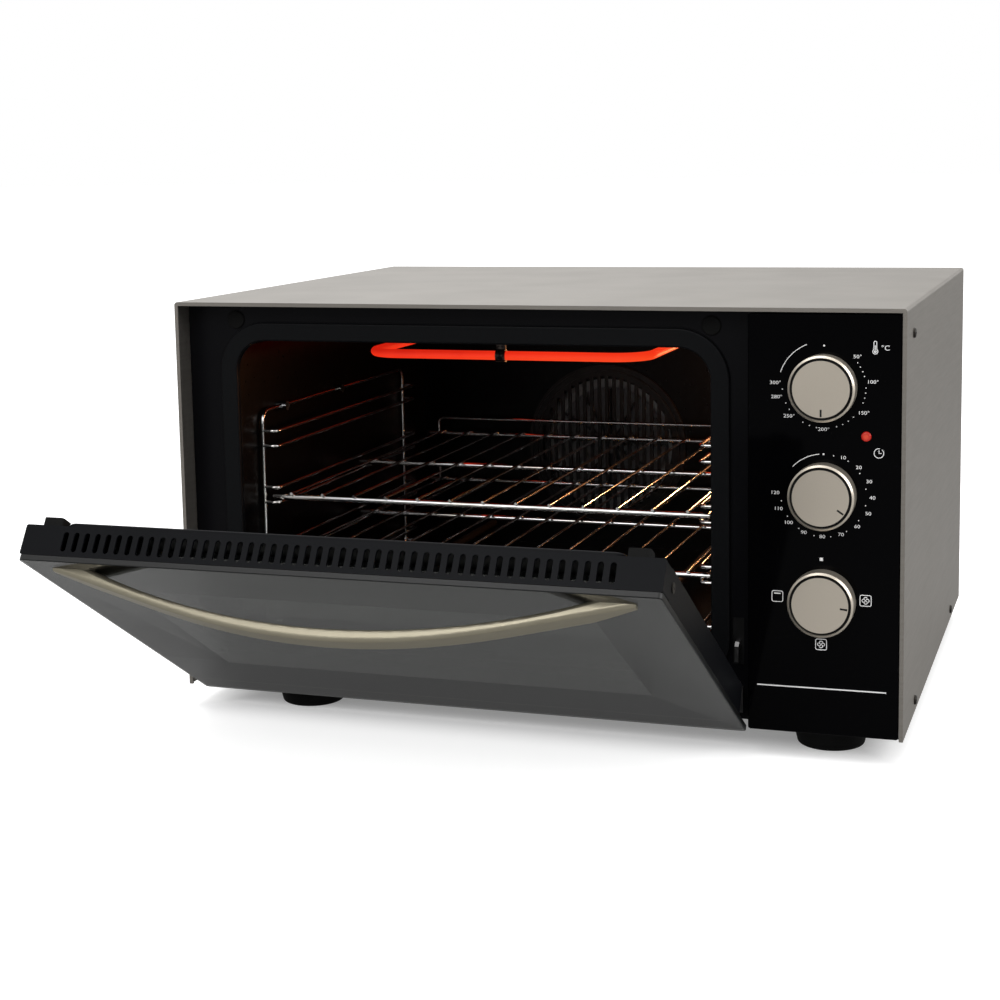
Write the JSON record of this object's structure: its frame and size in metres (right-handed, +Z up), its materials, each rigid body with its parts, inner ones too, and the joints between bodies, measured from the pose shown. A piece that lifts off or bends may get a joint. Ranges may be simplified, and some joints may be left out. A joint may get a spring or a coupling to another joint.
{
  "type": "countertop electric oven",
  "caption": "Countertop electric oven with a drop-down glass door, arched handle, wire shelves on side racks, rear fan, glowing element, three control knobs and short feet.",
  "frame": {"origin": "middle of the footprint of the whole object, with its door half open, at the level of the feet's soles", "axes": "+X to the oven's right as a user faces it, +Y from the door towards the back, +Z up"},
  "size_m": [0.5836, 0.752, 0.335],
  "materials": {
    "casing": "warm silver metallic, satin",
    "zinc": "plain zinc-coated sheet",
    "screw_steel": "bright screws",
    "rubber": "matt black rubber",
    "enamel": "dark speckled enamel",
    "hinge_steel": "oiled steel",
    "element": "heating tube, glowing red",
    "wire_chrome": "bright chrome wire",
    "motor": "dull steel",
    "panel": "glossy black",
    "black_plastic": "matt black plastic",
    "lamp": "red lens",
    "knob": "champagne metallic finish",
    "glass": "smoked glass",
    "border": "dark print",
    "door_frame": "dark satin enamel",
    "handle": "champagne satin"
  },
  "bodies": {
    "oven_body": {"casing_wrap": "casing", "side_screws": "screw_steel", "base_pan": "zinc", "back_panel": "zinc", "motor_cover": "zinc", "divider_wall": "zinc", "fan_housing": "zinc", "power_inlet": "black_plastic", "control_bezel": "black_plastic", "selector_body": "black_plastic", "timer_body": "black_plastic", "thermostat_body": "black_plastic", "foot_front_left": "rubber", "foot_front_right": "rubber", "foot_rear_left": "rubber", "foot_rear_right": "rubber", "door_gasket": "rubber", "fascia_plugs": "rubber", "front_fascia": "enamel", "cavity_liner": "enamel", "hinge_hook_left": "hinge_steel", "hinge_hook_right": "hinge_steel", "hinge_bracket_left": "hinge_steel", "hinge_bracket_right": "hinge_steel", "upper_element": "element", "lower_element": "element", "upper_element_clip": "wire_chrome", "lower_element_clip": "wire_chrome", "side_rack_left": "wire_chrome", "side_rack_right": "wire_chrome", "rack_studs": "wire_chrome", "fan_grille": "wire_chrome", "fan_motor": "motor", "control_panel": "panel", "neon_lamp": "lamp"},
    "door": {"door_screws": "screw_steel", "door_stop_left": "rubber", "door_stop_right": "rubber", "door_glass": "glass", "door_inner_glass": "glass", "door_border": "border", "door_top_rail": "door_frame", "door_bottom_rail": "door_frame", "door_side_left": "door_frame", "door_side_right": "door_frame", "door_inner_frame": "door_frame", "door_handle": "handle", "hinge_pin_left": "hinge_steel", "hinge_pin_right": "hinge_steel"},
    "upper_shelf": {"upper_shelf": "wire_chrome"},
    "lower_shelf": {"lower_shelf": "wire_chrome"},
    "fan": {"fan_impeller": "motor", "motor_shaft": "hinge_steel"},
    "selector_control": {"selector_knob": "knob", "selector_shaft": "hinge_steel"},
    "timer_control": {"timer_knob": "knob", "timer_shaft": "hinge_steel"},
    "thermostat_control": {"thermostat_knob": "knob", "thermostat_shaft": "hinge_steel"}
  },
  "joints": [
    {"name": "door_hinge", "type": "hinge", "parent": "oven_body", "child": "door", "pos_m": [-0.05065, -0.11281, 0.032], "axis": [1, 0, 0], "range_deg": [-58, 27]},
    {"name": "selector_turn", "type": "hinge", "parent": "oven_body", "child": "selector_control", "pos_m": [0.2315, -0.11101, 0.1205], "axis": [0, 1, 0], "range_deg": [-96, 174]},
    {"name": "timer_turn", "type": "hinge", "parent": "oven_body", "child": "timer_control", "pos_m": [0.2315, -0.11101, 0.1993], "axis": [0, 1, 0], "range_deg": [-174, 148]},
    {"name": "thermostat_turn", "type": "hinge", "parent": "oven_body", "child": "thermostat_control", "pos_m": [0.2315, -0.11101, 0.2781], "axis": [0, 1, 0], "range_deg": [-180, 95]},
    {"name": "fan_spin", "type": "hinge", "parent": "oven_body", "child": "fan", "pos_m": [-0.05065, 0.32499, 0.16], "axis": [0, 1, 0], "continuous": true},
    {"name": "upper_shelf_slide", "type": "slide", "parent": "oven_body", "child": "upper_shelf", "axis": [0, -1, 0], "range_m": [0, 0.2]},
    {"name": "lower_shelf_slide", "type": "slide", "parent": "oven_body", "child": "lower_shelf", "axis": [0, -1, 0], "range_m": [0, 0.14]}
  ]
}
